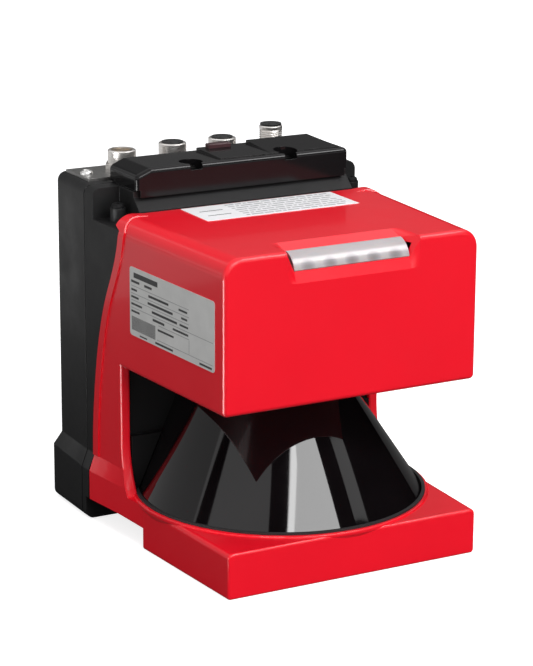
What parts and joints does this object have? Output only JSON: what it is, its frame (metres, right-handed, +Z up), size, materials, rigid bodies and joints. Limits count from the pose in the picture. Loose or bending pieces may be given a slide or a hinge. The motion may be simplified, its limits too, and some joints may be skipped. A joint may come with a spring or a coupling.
{
  "type": "laser scanner",
  "caption": "Area-monitoring laser scanner: die-cast hood over a dark conical window with a rotating mirror inside, on a hollow rear housing with plug connectors on top.",
  "frame": {"origin": "bottom centre of the whole box, on the surface it stands on", "axes": "+Z up along the mirror's spin axis; -Y out of the front window; +Y out of the mounting face; +X to the right seen from the front"},
  "size_m": [0.1412, 0.1586, 0.1695],
  "materials": {
    "red_paint": "smooth gloss powder coat over a die casting",
    "black_housing": "fine satin powder coat",
    "black_gloss": "polished moulding",
    "black_inner": "matt black, light absorbing",
    "window_tint": "polished infrared-passing plastic",
    "seal_rubber": "matt",
    "frosted": "frosted, light passing",
    "lamp_body": "milky",
    "circuit_board": "solder mask",
    "steel": "turned",
    "screw_steel": "bright zinc",
    "brass": "turned",
    "encoder": "etched",
    "sensor_black": "moulded",
    "mirror_glass": "coated",
    "lens_glass": "clear",
    "memory_maroon": "moulded",
    "plate_alu": "bead blasted",
    "nickel": "nickel plated, satin",
    "insert_black": "moulded",
    "gold": "gold plated",
    "label_silver": "satin film, bare",
    "label_white": "matt film, bare"
  },
  "bodies": {
    "housing": {"base_cover": "black_inner", "base_cover_screws": "screw_steel", "base_housing": "black_housing", "board_link": "black_inner", "board_screws": "screw_steel", "board_spacers": "brass", "carrier_screws": "screw_steel", "collar_shells": "nickel", "connector_cover": "black_gloss", "connector_nuts": "nickel", "connector_plate": "plate_alu", "contact_pins": "gold", "corner_screws": "screw_steel", "cover_gasket": "seal_rubber", "cover_screws": "screw_steel", "encoder_sensor": "sensor_black", "field_stop": "black_inner", "fold_mirror": "mirror_glass", "front_window": "window_tint", "head_seal": "seal_rubber", "hood": "red_paint", "hood_gasket": "seal_rubber", "housing_screws": "screw_steel", "indicator_board": "circuit_board", "indicator_lamps": "lamp_body", "indicator_lens": "frosted", "laser_bracket": "black_inner", "laser_module": "brass", "main_board": "circuit_board", "memory_module": "memory_maroon", "motor_bearings": "steel", "motor_board": "circuit_board", "motor_cover": "steel", "motor_housing": "steel", "motor_screws": "screw_steel", "motor_stator": "steel", "mounting_inserts": "brass", "note_label": "label_white", "optics_carrier": "black_inner", "optics_screws": "screw_steel", "pin_insert": "insert_black", "pin_shell": "nickel", "plate_screws": "screw_steel", "rear_board": "circuit_board", "rear_gasket": "seal_rubber", "rear_housing": "black_housing", "receiver_board": "circuit_board", "receiver_lens": "lens_glass", "receiver_tube": "black_inner", "socket_inserts": "insert_black", "stud_insert": "insert_black", "stud_shell": "nickel", "type_label": "label_silver", "window_seal": "seal_rubber"},
    "rotor": {"motor_rotor": "steel", "rotor_shaft": "steel", "encoder_disc": "encoder", "mirror_holder": "black_inner", "scan_mirror": "mirror_glass", "mirror_set_screw": "screw_steel"}
  },
  "joints": [
    {"name": "scan_spin", "type": "hinge", "parent": "housing", "child": "rotor", "pos_m": [0, -0.004, 0.044], "axis": [0, 0, 1], "continuous": true}
  ]
}
